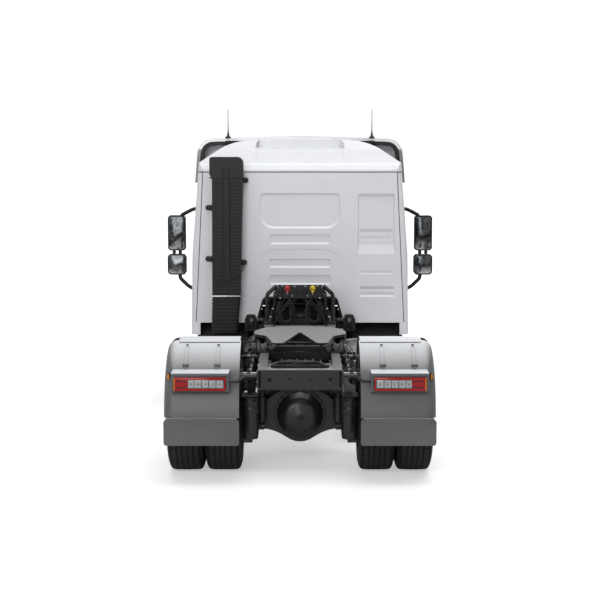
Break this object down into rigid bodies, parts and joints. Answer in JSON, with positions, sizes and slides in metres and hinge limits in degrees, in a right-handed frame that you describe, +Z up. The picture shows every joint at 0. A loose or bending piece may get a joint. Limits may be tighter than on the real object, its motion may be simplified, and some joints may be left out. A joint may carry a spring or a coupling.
{
  "type": "semi truck tractor unit",
  "caption": "Cab-over tractor unit: tilting cab with doors, fifth wheel, twin-tyred drive axle and steered front wheels.",
  "frame": {"origin": "on the ground at the middle of the vehicle's length and width", "axes": "+X the vehicle's right, +Y forward, +Z up"},
  "size_m": [3.316, 5.72, 3.4418],
  "materials": {
    "cab_paint": "satin",
    "chassis_black": "satin",
    "guard_grey": "matte",
    "black_plastic": "matte",
    "worn_steel": "worn",
    "engine_metal": "matte",
    "tank_alloy": "brushed",
    "tyre": "matte",
    "wheel_steel": "satin",
    "window_glass": "clear",
    "lamp_red": "gloss",
    "lamp_clear": "gloss",
    "hose_black": "matte",
    "coupling_red": "satin",
    "trim_grey": "matte",
    "seat_cloth": "matte"
  },
  "bodies": {
    "chassis": {"chassis_frame": "chassis_black", "front_axle": "chassis_black", "front_springs": "chassis_black", "rear_axle": "chassis_black", "rear_suspension": "chassis_black", "drive_shaft": "chassis_black", "engine": "engine_metal", "radiator": "engine_metal", "fuel_tank": "tank_alloy", "battery_box": "chassis_black", "exhaust_silencer": "worn_steel", "front_bumper": "black_plastic", "headlamps": "lamp_clear", "front_mudguards": "black_plastic", "cab_steps": "black_plastic", "rear_mudguards": "guard_grey", "mud_flaps": "guard_grey", "tail_lamps": "lamp_red", "lamp_brackets": "chassis_black", "fifth_wheel_base": "chassis_black", "coupling_rack": "chassis_black", "air_couplings": "coupling_red", "left_air_line": "hose_black", "right_air_line": "hose_black", "cab_mounts": "chassis_black"},
    "cab": {"cab_shell": "cab_paint", "cab_roof": "cab_paint", "windscreen": "window_glass", "sun_visor": "cab_paint", "mirrors": "black_plastic", "intake_stack": "black_plastic", "antennas": "black_plastic", "dashboard": "trim_grey", "seats": "seat_cloth", "bunk": "trim_grey"},
    "left_door": {"left_door": "cab_paint", "left_door_glass": "window_glass"},
    "right_door": {"right_door": "cab_paint", "right_door_glass": "window_glass"},
    "front_panel": {"front_panel": "cab_paint"},
    "fifth_wheel_plate": {"fifth_wheel_plate": "worn_steel"},
    "left_knuckle": {"left_knuckle": "chassis_black"},
    "right_knuckle": {"right_knuckle": "chassis_black"},
    "tie_rod": {"tie_rod": "chassis_black"},
    "left_front_wheel": {"left_front_tyre": "tyre", "left_front_rim": "wheel_steel"},
    "right_front_wheel": {"right_front_tyre": "tyre", "right_front_rim": "wheel_steel"},
    "left_rear_wheels": {"left_rear_tyres": "tyre", "left_rear_rims": "wheel_steel"},
    "right_rear_wheels": {"right_rear_tyres": "tyre", "right_rear_rims": "wheel_steel"}
  },
  "joints": [
    {"name": "cab_tilt", "type": "hinge", "parent": "chassis", "child": "cab", "pos_m": [0, 2.74, 0.935], "axis": [-1, 0, 0], "range_deg": [0, 60]},
    {"name": "left_door_swing", "type": "hinge", "parent": "cab", "child": "left_door", "pos_m": [-1.252, 2.362, 1.7], "axis": [0, 0, -1], "range_deg": [0, 75]},
    {"name": "right_door_swing", "type": "hinge", "parent": "cab", "child": "right_door", "pos_m": [1.252, 2.362, 1.7], "axis": [0, 0, 1], "range_deg": [0, 75]},
    {"name": "front_panel_lift", "type": "hinge", "parent": "cab", "child": "front_panel", "pos_m": [0, 2.795, 1.729], "axis": [1, 0, 0], "range_deg": [0, 70]},
    {"name": "fifth_wheel_rock", "type": "hinge", "parent": "chassis", "child": "fifth_wheel_plate", "pos_m": [0, -1.59, 1.159], "axis": [1, 0, 0], "range_deg": [-12, 12]},
    {"name": "left_steer", "type": "hinge", "parent": "chassis", "child": "left_knuckle", "pos_m": [-0.88, 1.49, 0.54], "axis": [0, 0, 1], "range_deg": [-38, 38]},
    {"name": "right_steer", "type": "hinge", "parent": "chassis", "child": "right_knuckle", "pos_m": [0.88, 1.49, 0.54], "axis": [0, 0, 1], "range_deg": [-38, 38]},
    {"name": "tie_rod_swing", "type": "hinge", "parent": "left_knuckle", "child": "tie_rod", "pos_m": [-0.88, 1.32, 0.43], "axis": [0, 0, 1], "range_deg": [-38, 38]},
    {"name": "left_front_spin", "type": "hinge", "parent": "left_knuckle", "child": "left_front_wheel", "pos_m": [-1.02, 1.49, 0.54], "axis": [1, 0, 0], "continuous": true},
    {"name": "right_front_spin", "type": "hinge", "parent": "right_knuckle", "child": "right_front_wheel", "pos_m": [1.02, 1.49, 0.54], "axis": [1, 0, 0], "continuous": true},
    {"name": "left_rear_spin", "type": "hinge", "parent": "chassis", "child": "left_rear_wheels", "pos_m": [-0.8875, -2.11, 0.54], "axis": [1, 0, 0], "continuous": true},
    {"name": "right_rear_spin", "type": "hinge", "parent": "chassis", "child": "right_rear_wheels", "pos_m": [0.8875, -2.11, 0.54], "axis": [1, 0, 0], "continuous": true}
  ],
  "couplings": [
    {"joint": "right_steer", "follows": "left_steer", "ratio": 1},
    {"joint": "tie_rod_swing", "follows": "left_steer", "ratio": -1}
  ]
}
